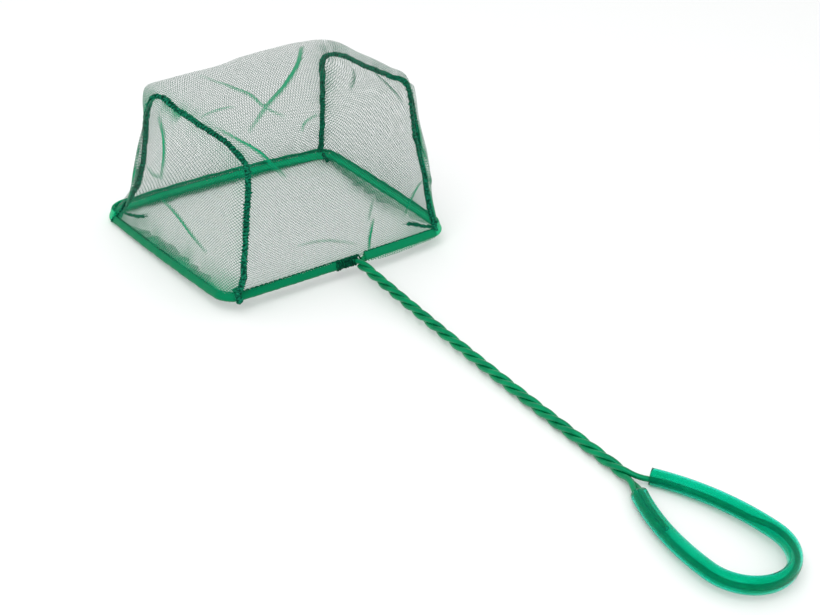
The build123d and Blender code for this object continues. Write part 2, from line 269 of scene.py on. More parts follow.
def mottle(tree, scale, low, high, dark, pale):
    """Two colours mixed in soft patches of a size given by scale, read from object coordinates."""
    place = node(tree, "ShaderNodeTexCoord")
    patches = node(tree, "ShaderNodeTexNoise", Scale=scale, Detail=3.0)
    tree.links.new(place.outputs["Object"], patches.inputs["Vector"])
    ramp = node(tree, "ShaderNodeValToRGB")
    ramp.color_ramp.elements[0].position = low
    ramp.color_ramp.elements[1].position = high
    ramp.color_ramp.elements[0].color = (*dark, 1)
    ramp.color_ramp.elements[1].color = (*pale, 1)
    tree.links.new(patches.outputs["Fac"], ramp.inputs["Fac"])
    return ramp.outputs["Color"], patches.outputs["Fac"]


def bump(tree, shader, height, strength, distance):
    """Small relief from a height socket."""
    relief = node(tree, "ShaderNodeBump", Strength=strength, Distance=distance)
    tree.links.new(height, relief.inputs["Height"])
    tree.links.new(relief.outputs["Normal"], shader.inputs["Normal"])


# %% Vinyl, steel and thread
WIRE_GREEN = (0.0, 0.26, 0.08)
WIRE_DARK = (0.0, 0.15, 0.055)
WIRE_PALE = (0.0, 0.24, 0.085)
WIRE_GLEAM = 0.6
STEEL_GREY = (0.55, 0.56, 0.57)
STEEL_DARK = (0.45, 0.46, 0.47)
STEEL_PALE = (0.62, 0.63, 0.64)
PLY_SLANT = math.radians(35)
PLY_SCALE = 1.1
PLY_DISTORTION = 0.6
GRAIN_SCALE = 900.0
GRAIN_CONTRAST = 4.0
GRAIN_GAIN = 14.0


def wire_vinyl():
    """The wire's coat: glossy green, with faint draw marks and patches a little darker than the rest."""
    material, tree, shader = new_material("wire_vinyl", WIRE_GREEN, roughness=0.28)
    colour, grain = mottle(tree, scale=160.0, low=0.35, high=0.7, dark=WIRE_DARK, pale=WIRE_PALE)
    tree.links.new(colour, shader.inputs["Base Color"])
    shader.inputs["Specular IOR Level"].default_value = WIRE_GLEAM
    bump(tree, shader, grain, strength=0.08, distance=0.0004)
    return material


def steel():
    """The drawn steel core, seen only at the wire's cut ends."""
    material, tree, shader = new_material("core_steel", STEEL_GREY, roughness=0.35, tint=WHITE_GLEAM)
    colour, grain = mottle(tree, scale=900.0, low=0.3, high=0.7, dark=STEEL_DARK, pale=STEEL_PALE)
    tree.links.new(colour, shader.inputs["Base Color"])
    shader.inputs["Metallic"].default_value = 1.0
    bump(tree, shader, grain, strength=0.05, distance=0.0002)
    return material


def thread(name, dark, pale):
    """Twisted sewing thread: fine slanting lines along the strand, and darker and paler grains."""
    material, tree, shader = new_material(name, pale, roughness=0.75)
    uv = node(tree, "ShaderNodeTexCoord")
    slant = node(tree, "ShaderNodeMapping", Rotation=(0, 0, PLY_SLANT))
    tree.links.new(uv.outputs["UV"], slant.inputs["Vector"])
    ply = node(tree, "ShaderNodeTexWave", Scale=PLY_SCALE, Distortion=PLY_DISTORTION)
    tree.links.new(slant.outputs["Vector"], ply.inputs["Vector"])
    ramp = node(tree, "ShaderNodeValToRGB")
    ramp.color_ramp.elements[0].color = (*dark, 1)
    ramp.color_ramp.elements[1].color = (*pale, 1)
    place = node(tree, "ShaderNodeTexCoord")
    grains = node(tree, "ShaderNodeTexNoise", Scale=GRAIN_SCALE, Detail=1.0)
    tree.links.new(place.outputs["Object"], grains.inputs["Vector"])
    grain = maths(tree, "POWER", grains.outputs["Fac"], GRAIN_CONTRAST)
    shade = maths(tree, "MULTIPLY", ply.outputs["Fac"], grain)
    tree.links.new(maths(tree, "MULTIPLY", shade, GRAIN_GAIN), ramp.inputs["Fac"])
    tree.links.new(ramp.outputs["Color"], shader.inputs["Base Color"])
    bump(tree, shader, ply.outputs["Fac"], strength=0.3, distance=0.0002)
    return material


WIRE_VINYL = wire_vinyl()
CORE_STEEL = steel()
SEAM_CORE = thread("seam_core", (0.0, 0.012, 0.007), (0.0, 0.05, 0.025))
SEAM_THREAD = thread("seam_thread", (0.0, 0.025, 0.014), (0.01, 0.27, 0.14))
STITCH_THREAD = thread("stitch_thread", (0.0, 0.02, 0.012), (0.002, 0.09, 0.04))
# Painted light: a paler copy of the stitch thread, for the stitches on the back and right hem.
PAINTED_LIGHT_THREAD = thread("painted_light_thread", (0.0, 0.12, 0.06), (0.006, 0.36, 0.17))


# %% Sleeve vinyl
SLEEVE_TEAL = (0.0, 0.72, 0.5)
SLEEVE_DARK = (0.0, 0.66, 0.43)
SLEEVE_PALE = (0.004, 0.8, 0.6)
SLEEVE_CLEAR = 0.92
SLEEVE_IOR = 1.25
SLEEVE_GLEAM = 0.5


def sleeve_vinyl():
    """Soft dyed tubing: light comes out of it teal, and the wire inside shows as a darker line."""
    material, tree, shader = new_material("sleeve_vinyl", SLEEVE_TEAL, roughness=0.06)
    colour, grain = mottle(tree, scale=70.0, low=0.3, high=0.75, dark=SLEEVE_DARK, pale=SLEEVE_PALE)
    tree.links.new(colour, shader.inputs["Base Color"])
    shader.inputs["Transmission Weight"].default_value = SLEEVE_CLEAR
    shader.inputs["IOR"].default_value = SLEEVE_IOR
    shader.inputs["Specular IOR Level"].default_value = SLEEVE_GLEAM
    bump(tree, shader, grain, strength=0.06, distance=0.0005)
    return material


SLEEVE_VINYL = sleeve_vinyl()


# %% Mesh
MESH_PERIOD = 1.0
MESH_SLANT = math.radians(45)
WAVER_SCALE = 0.12
WAVER = 0.9
BUNCH_WIDTH = 0.16
VEIL_POWER = 1.3
BUNCH_COLOUR_POWER = 0.6


def mesh_cloth(name, strand, sparse, dense):
    """Open mesh: two crossing sets of strands on the UV map, in millimetres, and holes between them.

    The bunch attribute says where the cloth is folded on itself, with thicker, brighter strands.
    """
    material, tree, shader = new_material(name, sparse, roughness=0.45)
    uv = node(tree, "ShaderNodeTexCoord")
    waver = node(tree, "ShaderNodeTexNoise", Scale=WAVER_SCALE, Detail=2.0)
    tree.links.new(uv.outputs["UV"], waver.inputs["Vector"])
    moved = node(tree, "ShaderNodeVectorMath", operation="MULTIPLY_ADD")
    tree.links.new(waver.outputs["Color"], moved.inputs[0])
    moved.inputs[1].default_value = (WAVER, WAVER, 0)
    tree.links.new(uv.outputs["UV"], moved.inputs[2])
    slant = node(tree, "ShaderNodeMapping", Rotation=(0, 0, MESH_SLANT))
    tree.links.new(moved.outputs["Vector"], slant.inputs["Vector"])
    split = node(tree, "ShaderNodeSeparateXYZ")
    tree.links.new(slant.outputs["Vector"], split.inputs["Vector"])
    bunch = node(tree, "ShaderNodeAttribute", attribute_name="bunch")
    width = maths(tree, "MULTIPLY_ADD", bunch.outputs["Fac"], BUNCH_WIDTH)
    width.node.inputs[2].default_value = strand
    edge = maths(tree, "SUBTRACT", 0.5, maths(tree, "MULTIPLY", width, 0.5))
    strands = []
    for axis in ("X", "Y"):
        step = maths(tree, "DIVIDE", split.outputs[axis], MESH_PERIOD)
        strands.append(maths(tree, "GREATER_THAN", maths(tree, "PINGPONG", step, 0.5), edge))
    veil = maths(tree, "POWER", bunch.outputs["Fac"], VEIL_POWER)
    weave = maths(tree, "MAXIMUM", strands[0], strands[1])
    tree.links.new(maths(tree, "MAXIMUM", weave, veil), shader.inputs["Alpha"])
    blend = node(tree, "ShaderNodeMix", data_type="RGBA")
    blend.inputs["A"].default_value = (*sparse, 1)
    blend.inputs["B"].default_value = (*dense, 1)
    tree.links.new(maths(tree, "POWER", bunch.outputs["Fac"], BUNCH_COLOUR_POWER), blend.inputs["Factor"])
    tree.links.new(blend.outputs["Result"], shader.inputs["Base Color"])
    return material


BAG_MESH = mesh_cloth("bag_mesh", 0.15, (0.006, 0.075, 0.045), (0.0, 0.25, 0.11))
# Painted light: the hem's bright sparse colour lifts the loose back and right hem out of the front mesh's
# shade.
HEM_MESH_PAINTED_LIGHT = mesh_cloth("hem_mesh", 0.72, (0.008, 0.55, 0.24), (0.0, 0.12, 0.045))
EDGE_MESH = mesh_cloth("edge_mesh", 0.25, (0.002, 0.14, 0.07), (0.0, 0.33, 0.14))
print("materials:", len(bpy.data.materials))

# %% [markdown]
# ## The wire
# One wire makes the whole frame. It starts as one strand of the handle, goes round the loop, comes back as
# the second strand, goes round the hoop, and comes back as the third, whose end hides in the sleeve. The
# strands follow a formula: a point that turns around the handle's axis as it moves along it. Short Bezier
# bends join the strands to the hoop and to the loop.

# %% Sizes of the wire
WIRE_R = 1.125
CORE_R = 0.8
FRONT_HALF = 61.0
BACK_HALF = 66.0
FRONT_Y = -56.0
BACK_Y = 56.0
FRONT_BOW = 1.0
BACK_BOW = 4.0
SIDE_BOW = 1.0
CORNER_R = 8.0
HANDLE_X = 8.0
HANDLE_START = Vector((HANDLE_X, -56.98, 0))
HANDLE_LENGTH = 181.0
HANDLE_DROP = math.radians(4.4)
HANDLE_SAG = 2.0
TWIST_IN = 3.2
TWIST_END = 177.2
TWIST = math.radians(2335)
LAY_R = 1.36
HOOP_PHASES = (math.radians(120), 0.0, math.radians(240))
HOOP_BEND = 4.2
RINGS_PER_STRAND = 190
HEADING_STEP = 0.1
SIDE_STEPS = 60
CORNER_STEPS = 10
CORNER_GRIP = 0.55
WIRE_SIDES = 20
CORE_SIDES = 10

ALONG = Vector((0, -math.cos(HANDLE_DROP), -math.sin(HANDLE_DROP)))
UPRIGHT = Vector((0, -math.sin(HANDLE_DROP), math.cos(HANDLE_DROP)))
NECK = HANDLE_START + ALONG * HANDLE_LENGTH


def strand_point(strand, t):
    """A point on the centre-line of a strand, t along the handle."""
    share = t / HANDLE_LENGTH
    sag = 4 * HANDLE_SAG * share * (1 - share)
    angle = HOOP_PHASES[strand] - TWIST * (t - TWIST_IN) / (TWIST_END - TWIST_IN)
    radial = Vector((math.cos(angle), 0, 0)) + UPRIGHT * math.sin(angle)
    return HANDLE_START + ALONG * t - UPRIGHT * sag + radial * LAY_R


def strand_heading(strand, t):
    """The direction in which a strand runs away from the hoop, t along the handle."""
    ahead = strand_point(strand, t + HEADING_STEP)
    return (ahead - strand_point(strand, t - HEADING_STEP)).normalized()


def strand_run(strand):
    """A strand from the hoop to the loop."""
    step = (TWIST_END - TWIST_IN) / RINGS_PER_STRAND
    return [strand_point(strand, TWIST_IN + step * i) for i in range(RINGS_PER_STRAND + 1)]


def bend(start, heading, end, arrival, steps=16, pull=0.45):
    """A smooth bend that leaves along one heading and arrives along another."""
    reach = (end - start).length * pull
    return interpolate_bezier(start, start + heading * reach, end - arrival * reach, end, steps)


# %% The hoop's line
def bowed_side(start, end, bow, steps):
    """A side of the hoop between two corners, without its rounded ends."""
    run = end - start
    outward = Vector((run.y, -run.x, 0)).normalized() * bow
    trim = CORNER_R / run.length
    shares = [trim + (1 - 2 * trim) * i / steps for i in range(steps + 1)]
    return [start + run * u + outward * (4 * u * (1 - u)) for u in shares]


def corner_bend(before, corner, after):
    """A rounded corner between the ends of two sides."""
    first = before + (corner - before) * CORNER_GRIP
    second = after + (corner - after) * CORNER_GRIP
    return interpolate_bezier(before, first, second, after, CORNER_STEPS)[1:-1]


def hoop_line():
    """The hoop's centre-line as a closed run: left side, back, right side and front."""
    corners = [
        Vector((-FRONT_HALF, FRONT_Y, 0)),
        Vector((-BACK_HALF, BACK_Y, 0)),
        Vector((BACK_HALF, BACK_Y, 0)),
        Vector((FRONT_HALF, FRONT_Y, 0)),
    ]
    bows = (-SIDE_BOW, -BACK_BOW, -SIDE_BOW, -FRONT_BOW)
    sides = [bowed_side(corners[i], corners[(i + 1) % 4], bows[i], SIDE_STEPS) for i in range(4)]
    line = []
    for i in range(4):
        line += sides[i]
        following = sides[(i + 1) % 4]
        line += corner_bend(sides[i][-1], corners[(i + 1) % 4], following[0])
    return line


HOOP_LINE = hoop_line()


def nearest(point):
    """The number of the hoop-line point that is nearest to a place."""
    target = Vector(point)
    return min(range(len(HOOP_LINE)), key=lambda i: (HOOP_LINE[i] - target).length)


def hoop_part(start, end):
    """The hoop's line from one place to another, by way of the left side, the back and the right side."""
    first = nearest(start)
    last = nearest(end)
    if last <= first:
        last += len(HOOP_LINE)
    return [HOOP_LINE[i % len(HOOP_LINE)] for i in range(first, last + 1)]


FRONT_EDGE = FRONT_Y - FRONT_BOW
HANDLE_LEFT = (HANDLE_X - HOOP_BEND, FRONT_EDGE, 0)
HANDLE_RIGHT = (HANDLE_X + HOOP_BEND, FRONT_EDGE, 0)


def hoop_wire_line():
    """The wire from the first strand round the hoop to the second."""
    sides = hoop_part(HANDLE_LEFT, HANDLE_RIGHT)
    first = bend(
        strand_point(0, TWIST_IN), -strand_heading(0, TWIST_IN),
        sides[0], (sides[1] - sides[0]).normalized(),
    )
    second = bend(
        sides[-1], (sides[-1] - sides[-2]).normalized(),
        strand_point(1, TWIST_IN), strand_heading(1, TWIST_IN),
    )
    return first[:-1] + sides + second[1:]


# %% The loop's line
LOOP_LENGTH = 66.6
LOOP_END_R = 17.4
LOOP_BRANCH_R = 90.0
LOOP_OFFSET = 2.7
RIGHT_MOUTH = 2.2
LEFT_MOUTH = 7.3
TAIL_END = 26.0
PAIR_OFFSET = 1.17
MOUTH_SEAT = 1.35
MOUTH_RUN = 6.0
TURN_RUN = 12.0
TURN_SEAT = 0.9
LOOP_CENTRE = LOOP_LENGTH - LOOP_END_R


def branch(side, v, offset=0.0):
    """A point on a side of the loop, v past the neck and moved outward by offset."""
    lean = math.asin((LOOP_CENTRE - v) / LOOP_BRANCH_R)
    radius = LOOP_BRANCH_R + offset
    x = side * (LOOP_END_R - LOOP_BRANCH_R + radius * math.cos(lean))
    return NECK + Vector((LOOP_OFFSET + x, radius * math.sin(lean) - LOOP_CENTRE, 0))


def loop_end(radius, steps=40):
    """The round end of the loop, from its right side to its left."""
    centre = NECK + Vector((LOOP_OFFSET, -LOOP_CENTRE, 0))
    angles = [math.pi * i / steps for i in range(steps + 1)]
    return [centre + Vector((math.cos(a), -math.sin(a), 0)) * radius for a in angles]


def branch_run(side, start, end, offset, steps=24):
    """A side of the loop between two distances from the neck."""
    return [branch(side, start + (end - start) * i / steps, offset) for i in range(steps + 1)]


def loop_wire_line():
    """The wire from the third strand round the loop to the second strand."""
    out = branch_run(1, RIGHT_MOUTH + MOUTH_RUN, LOOP_CENTRE - TURN_RUN, -MOUTH_SEAT)
    turn_round = loop_end(LOOP_END_R + TURN_SEAT)
    back = branch_run(-1, LOOP_CENTRE - TURN_RUN, LEFT_MOUTH, PAIR_OFFSET)
    start = bend(
        strand_point(2, TWIST_END), strand_heading(2, TWIST_END),
        out[0], (out[1] - out[0]).normalized(),
    )
    cross = bend(out[-1], (out[-1] - out[-2]).normalized(), turn_round[0], Vector((0, -1, 0)))
    return_ = bend(turn_round[-1], Vector((0, 1, 0)), back[0], (back[1] - back[0]).normalized())
    end = bend(
        back[-1], (back[-1] - back[-2]).normalized(),
        strand_point(1, TWIST_END), -strand_heading(1, TWIST_END),
    )
    return start[:-1] + out + cross[1:-1] + turn_round + return_[1:-1] + back + end[1:]


def first_strand_line():
    """The first strand with its tail, which ends inside the sleeve."""
    tail = branch_run(-1, LEFT_MOUTH, TAIL_END, -PAIR_OFFSET)
    neck = bend(
        strand_point(0, TWIST_END), strand_heading(0, TWIST_END),
        tail[0], (tail[1] - tail[0]).normalized(),
    )
    return strand_run(0) + neck[1:-1] + tail


# %% Wire and cores
WIRE_LINES = {
    "hoop": hoop_wire_line(),
    "strand_1": first_strand_line(),
    "strand_2": strand_run(1),
    "strand_3": strand_run(2),
    "loop": loop_wire_line(),
}
for part, line in WIRE_LINES.items():
    ups = [UP] * len(line)
    jacket = rolled(part + "_wire", line, ups, circle(WIRE_R), WIRE_SIDES)
    finish_piece(painted(jacket, WIRE_VINYL), "green_vinyl", part + "_jacket")
    core = rolled(part + "_steel", line, ups, circle(CORE_R), CORE_SIDES)
    finish_piece(painted(core, CORE_STEEL), "steel_core", part + "_core")
    print(part, "wire", round(lengths(line)[-1]), "mm")

# %% [markdown]
# ## The sleeve
# A soft tube is pushed over the loop. Where it goes round the end it flattens, as a hose does: narrower in
# the plane of the bend and taller across it. It is a true tube, so its wall gets a thickness with Solidify.

# %% Sleeve
SLEEVE_R = 3.35
SLEEVE_WALL = 0.7
SLEEVE_SIDES = 32
SIDE_RINGS = 40
END_RINGS = 60
SQUEEZE = 0.3
SQUEEZE_SPAN = 0.13
SQUEEZE_RISE = 0.55


def sleeve_section(share, angle):
    """A round that flattens around the loop's end."""
    squeeze = SQUEEZE * math.exp(-((share - 0.5) / SQUEEZE_SPAN) ** 2)
    across = SLEEVE_R * (1 - squeeze) * math.cos(angle)
    return across, SLEEVE_R * (1 + SQUEEZE_RISE * squeeze) * math.sin(angle)


def sleeve_line():
    """The sleeve's centre-line from its right mouth to its left."""
    out = branch_run(1, RIGHT_MOUTH, LOOP_CENTRE, 0.0, SIDE_RINGS)
    back = branch_run(-1, LOOP_CENTRE, LEFT_MOUTH, 0.0, SIDE_RINGS)
    return out[:-1] + loop_end(LOOP_END_R, END_RINGS) + back[1:]


def walled(piece, wall):
    """Turns a skin into a wall that goes inwards."""
    thick = piece.modifiers.new("wall", "SOLIDIFY")
    thick.thickness = wall * MM
    thick.offset = -1
    deselect()
    piece.select_set(True)
    bpy.context.view_layer.objects.active = piece
    bpy.ops.object.modifier_apply(modifier=thick.name)


line = sleeve_line()
sleeve = rolled("grip_tube", line, [UP] * len(line), sleeve_section, SLEEVE_SIDES, capped=False)
walled(sleeve, SLEEVE_WALL)
finish_piece(painted(sleeve, SLEEVE_VINYL), "sleeve_vinyl", "grip_sleeve")
print("sleeve", round(lengths(line)[-1]), "mm")

# %% [markdown]
# ## The bag's two seams
# Two U-shaped seams give the bag its form. Each starts at the hem in front, climbs, runs back over the top
# and comes down behind. A few points on each, set against the photo, fix its line, and a smooth curve joins
# them.

# %% Seam lines
LEFT_SEAM_POINTS = [
    (-55.5, -56.8, 1.6), (-54.0, -60.2, 12), (-51.6, -59.4, 27), (-48.3, -57.0, 44),
    (-45.8, -54.5, 58.5), (-45.4, -38.7, 64.3), (-46.2, -14.5, 65.6), (-46.8, 3.2, 66.5),
    (-47.7, 24.5, 67.6), (-49.6, 32.3, 58), (-52.3, 32.2, 43.5), (-56.2, 34.8, 23.5), (-64.0, 46, 1.6),
]
RIGHT_SEAM_POINTS = [
    (55.0, -56.5, 1.6), (53.6, -51.5, 16), (51.0, -51, 32), (47.8, -47.9, 50.5),
    (43.3, -47.6, 75.5), (44.0, -32.2, 75.6), (45.5, -8.7, 73.6), (46.4, 11, 73.2),
    (48.5, 30.5, 66), (51.2, 36.5, 54), (54.0, 41.5, 39), (57.8, 48.7, 18.8), (61.6, 57.0, 1.6),
]
STEPS_PER_SPAN = 16


def smooth(points, steps):
    """A curve through points, each span leaving and arriving along its neighbours' line."""
    stops = [Vector(p) for p in points]
    last = len(stops) - 1
    line = [stops[0]]
    for i in range(last):
        leaving = stops[i] + (stops[i + 1] - stops[max(i - 1, 0)]) / 6
        arriving = stops[i + 1] - (stops[min(i + 2, last)] - stops[i]) / 6
        line += interpolate_bezier(stops[i], leaving, arriving, stops[i + 1], steps + 1)[1:]
    return line


LEFT_SEAM = smooth(LEFT_SEAM_POINTS, STEPS_PER_SPAN)
RIGHT_SEAM = smooth(RIGHT_SEAM_POINTS, STEPS_PER_SPAN)


def at(line, share):
    """The point at a share of a line's points."""
    place = min(max(share, 0.0), 1.0) * (len(line) - 1)
    before = min(int(place), len(line) - 2)
    return line[before].lerp(line[before + 1], place - before)


print("seams", round(lengths(LEFT_SEAM)[-1]), round(lengths(RIGHT_SEAM)[-1]), "mm")

# %% [markdown]
# ## The panels
# The middle panel is one long strip, front, top and back. It is stretched between the two seams and the
# front and back of the hem, and swells outwards between them, steeply beside the tight seams. Folds are
# pressed into it. The end panels fill the arches below the seams. Each is a grid whose corners are moved to
# their places, with a UV map in millimetres, so that the mesh is equally fine everywhere.

# %% Panel helpers
FOLD_STEPS = 8
FOLD_REACH = 8
FOLD_TOP = 2.2
FOLD_FADE = 0.7
BROAD_WAVE = 22
BROAD_HEIGHT = 0.9
FINE_WAVE = 9
FINE_HEIGHT = 0.25
CLOTH_MERGE = 1e-6


def fold_line(points):
    """The line of a fold on the flat cloth, in millimetres."""
    return smooth([(x, y, 0) for x, y in points], FOLD_STEPS)


def pressed(place, folds):
    """How far the folds raise the cloth at a place on the flat, and how tightly they bunch it there."""
    spot = Vector((place[0], place[1], 0))
    raised = 0.0
    bunched = 0.0
    for line, height, width, tightness in folds:
        nearest_stop = min(range(len(line)), key=lambda i: (line[i] - spot).length)
        if (line[nearest_stop] - spot).length < FOLD_REACH * width:
            first = line[max(nearest_stop - 1, 0)]
            last = line[min(nearest_stop + 1, len(line) - 1)]
            foot, part = intersect_point_line(spot, first, last)
            away = (foot - spot).length
            share = (nearest_stop + min(max(part, 0), 1)) / len(line)
            profile = min(1, FOLD_TOP * math.exp(-(away / width) ** 2))
            edge = profile * math.sin(math.pi * share) ** FOLD_FADE
            raised += height * edge
            bunched = max(bunched, edge * tightness)
    return raised, bunched


def crinkle(place):
    """A gentle unevenness of the cloth."""
    broad = noise.noise(Vector(place) / BROAD_WAVE) * BROAD_HEIGHT
    return broad + noise.noise(Vector(place) / FINE_WAVE) * FINE_HEIGHT


def patchy(place, size):
    """Between nought and one, in patches of a size."""
    return min(max(0.5 + noise.noise(Vector(place) / size), 0), 1)


def panel(name, surface, columns, rows):
    """A grid shaped by a function of two shares, which returns a place, a bunching and a UV place."""
    deselect()
    bpy.ops.mesh.primitive_grid_add(x_subdivisions=columns, y_subdivisions=rows, size=1)
    piece = bpy.context.object
    piece.name = name
    piece.data.name = name
    made = [surface(corner.co.x + 0.5, corner.co.y + 0.5) for corner in piece.data.vertices]
    bunch = piece.data.attributes.new("bunch", "FLOAT", "POINT")
    for corner, mark, (place, gathered, _) in zip(piece.data.vertices, bunch.data, made):
        corner.co = placed(place)
        mark.value = gathered
    for loop, uv in zip(piece.data.loops, piece.data.uv_layers.active.data):
        uv.uv = made[loop.vertex_index][2]
    bpy.ops.object.mode_set(mode="EDIT")
    bpy.ops.mesh.select_all(action="SELECT")
    bpy.ops.mesh.remove_doubles(threshold=CLOTH_MERGE)
    bpy.ops.mesh.normals_make_consistent(inside=False)
    bpy.ops.object.mode_set(mode="OBJECT")
    bpy.ops.object.shade_smooth()
    area = sum(face.area for face in piece.data.polygons)
    print(name, "area", round(area, 5), "m2")
    return piece


# %% Middle panel
FRONT_HEM = hoop_part(RIGHT_SEAM_POINTS[0], LEFT_SEAM_POINTS[0])[::-1]
BACK_HEM = hoop_part(LEFT_SEAM_POINTS[-1], RIGHT_SEAM_POINTS[-1])
HEM_TOP = Vector((0, 0, 1.6))
STRIP_WIDTH = 108.0
STRIP_LENGTH = 225.0
STRIP_GRID = (180, 390)
HEM_PULL = 6
SWELL_LEFT = 7.0
SWELL_RIGHT = 13.5
SWELL_POWER = 1.6
SWELL_IN_FRONT = 0.6
SWELL_GAIN = 0.7
PUFF_POWER = 0.25
HEM_BUNCH = 0.6
HEM_REACH = 5.0
HEM_SLACK = 15
LEG_REACH = 5.0
LEG_MIDDLE = 0.79
LEG_SPAN = 0.09
EAR = 6.0
EAR_SHARE = 0.7
EAR_SPAN = 0.09
EAR_WIDTH = 0.12
EAR_RISE = 25
EAR_WAY = Vector((-0.5, 0.85, 0.1))
SEAM_BUNCH = 0.35
SEAM_REACH = 2.6
SEAM_LEAST = 0.4
SEAM_PATCH = 7
SEAM_SLACK = 12
# Each fold: its line on the flat cloth, its height and width, and how tightly it bunches the cloth
STRIP_FOLDS = [
    (
        fold_line([(74, 130), (70, 125), (61, 113.6), (47.3, 104.2), (30.6, 97.6), (13.4, 90.4)]),
        1.4, 0.75, 1.0,
    ),
    (fold_line([(28.8, 141.2), (31.8, 120.1), (33.6, 108.5), (31.3, 98.3), (34.8, 88.2)]), 1.0, 0.65, 0.75),
    (fold_line([(3.5, 104), (6.6, 89.6), (13.9, 71.5), (24.9, 59.9)]), 1.2, 0.7, 1.0),
    (fold_line([(1.7, 113.6), (14.9, 110), (22.5, 107.1)]), 0.6, 0.6, 0.55),
    (fold_line([(36.1, 75.8), (40.1, 79.5), (47.4, 80.2)]), 0.6, 0.6, 0.6),
    (fold_line([(72.5, 23), (70, 12.7), (69.5, 1)]), 1.2, 0.7, 1.0),
    (fold_line([(72, 35), (70.5, 28), (69.5, 22)]), 0.6, 0.7, 0.5),
    (fold_line([(104, 33), (97.6, 27.9), (91.3, 15.6)]), 1.0, 0.7, 0.8),
    (fold_line([(29.1, 25), (44.5, 21.4), (64.4, 9.8)]), 0.6, 0.7, 0.4),
]


def strip(t, s):
    """The middle panel, from the left seam to the right by t and from the front hem to the back by s."""
    place = at(LEFT_SEAM, s).lerp(at(RIGHT_SEAM, s), t)
    front = at(FRONT_HEM, t) + HEM_TOP - LEFT_SEAM[0].lerp(RIGHT_SEAM[0], t)
    back = at(BACK_HEM, t) + HEM_TOP - LEFT_SEAM[-1].lerp(RIGHT_SEAM[-1], t)
    place = place + front * (1 - s) ** HEM_PULL + back * s ** HEM_PULL
    outward = Vector((0, -math.cos(math.pi * s), math.sin(math.pi * s)))
    height = math.sin(math.pi * s) ** SWELL_POWER * (SWELL_IN_FRONT + SWELL_GAIN * s)
    puff = max(4 * t * (1 - t), 0) ** PUFF_POWER
    swell = height * puff * (SWELL_LEFT + (SWELL_RIGHT - SWELL_LEFT) * t)
    woven = (t * STRIP_WIDTH + swell * math.cos(math.pi * t), s * STRIP_LENGTH)
    raised, bunched = pressed(woven, STRIP_FOLDS)
    from_hem = min(s, 1 - s) * STRIP_LENGTH
    from_seam = min(t, 1 - t) * STRIP_WIDTH
    patches = SEAM_LEAST + patchy(place, SEAM_PATCH)
    gathered = SEAM_BUNCH * math.exp(-from_seam / SEAM_REACH) * min(1, 2 * s) * patches
    leg = math.exp(-t * STRIP_WIDTH / LEG_REACH - ((s - LEG_MIDDLE) / LEG_SPAN) ** 2)
    bunched = max(bunched, HEM_BUNCH * math.exp(-from_hem / HEM_REACH), gathered, leg)
    bulge = math.exp(-(t / EAR_WIDTH) ** 2 - ((s - EAR_SHARE) / EAR_SPAN) ** 2)
    ear = EAR * min(1, EAR_RISE * t) * bulge
    place = place + EAR_WAY * ear
    loose = min(1, from_hem / HEM_SLACK) * min(1, t * SEAM_SLACK, (1 - t) * SEAM_SLACK)
    return place + outward * (swell + (raised + crinkle(place)) * loose), bunched, woven


middle = panel("middle_mesh", strip, *STRIP_GRID)
finish_piece(painted(middle, BAG_MESH), "bag_mesh", "centre_panel")

# %% End panels
LEFT_HEM = hoop_part(LEFT_SEAM_POINTS[0], LEFT_SEAM_POINTS[-1])
RIGHT_HEM = hoop_part(RIGHT_SEAM_POINTS[-1], RIGHT_SEAM_POINTS[0])[::-1]
END_GRID = (140, 90)
LEG_SHARE = 0.12
LEFT_SWELL = 5.0
RIGHT_SWELL = 8.5
SWELL_REACH = 4.5
SWELL_RISE = 30.0
LOW_LEAST = 0.35
LOW_PATCH = 9
NEAR_LEAST = 0.3
NEAR_PATCH = 8
END_HEM_SLACK = 12
END_SEAM_SLACK = 6
# How tightly the cloth is bunched beside the front leg and the back leg of each seam
END_LEGS = {"left": (0.3, 1.0), "right": (1.3, 0.5)}
END_HEM_BUNCH = {"left": 0.85, "right": 0.5}
END_HEM_REACH = {"left": 8.0, "right": 4.0}
END_FOLDS = {
    "left": [
        (fold_line([(15, 62.2), (6, 56), (2.7, 47.3), (3.9, 35)]), 0.8, 0.95, 1.0),
        (fold_line([(3, 27.5), (-12, 24.5), (-25.5, 20.9), (-39, 16.1)]), 1.0, 0.8, 0.95),
        (fold_line([(18, 38), (10, 36), (2, 38)]), 0.6, 0.7, 0.5),
    ],
    "right": [
        (fold_line([(17.1, 63.1), (21, 55), (26, 47.7)]), 1.0, 0.9, 0.6),
        (fold_line([(-5, 68.5), (-15.8, 62.6), (-26, 57.6)]), 1.0, 0.8, 0.7),
        (fold_line([(-51.5, 30), (-47, 24), (-38.6, 19.7)]), 1.0, 0.9, 0.8),
    ],
}


def seam_share(u):
    """Where on its seam a place along the hem ends. Leg, top and leg take a third of the seam each."""
    if u < LEG_SHARE:
        return u / LEG_SHARE / 3
    if u > 1 - LEG_SHARE:
        return 1 - (1 - u) / LEG_SHARE / 3
    return (1 + (u - LEG_SHARE) / (1 - 2 * LEG_SHARE)) / 3


def seen_from_side(line):
    """A line's points as a tree that finds the nearest one, all moved into one plane."""
    tree = KDTree(len(line))
    for number, point in enumerate(line):
        tree.insert((0, point.y, point.z), number)
    tree.balance()
    return tree


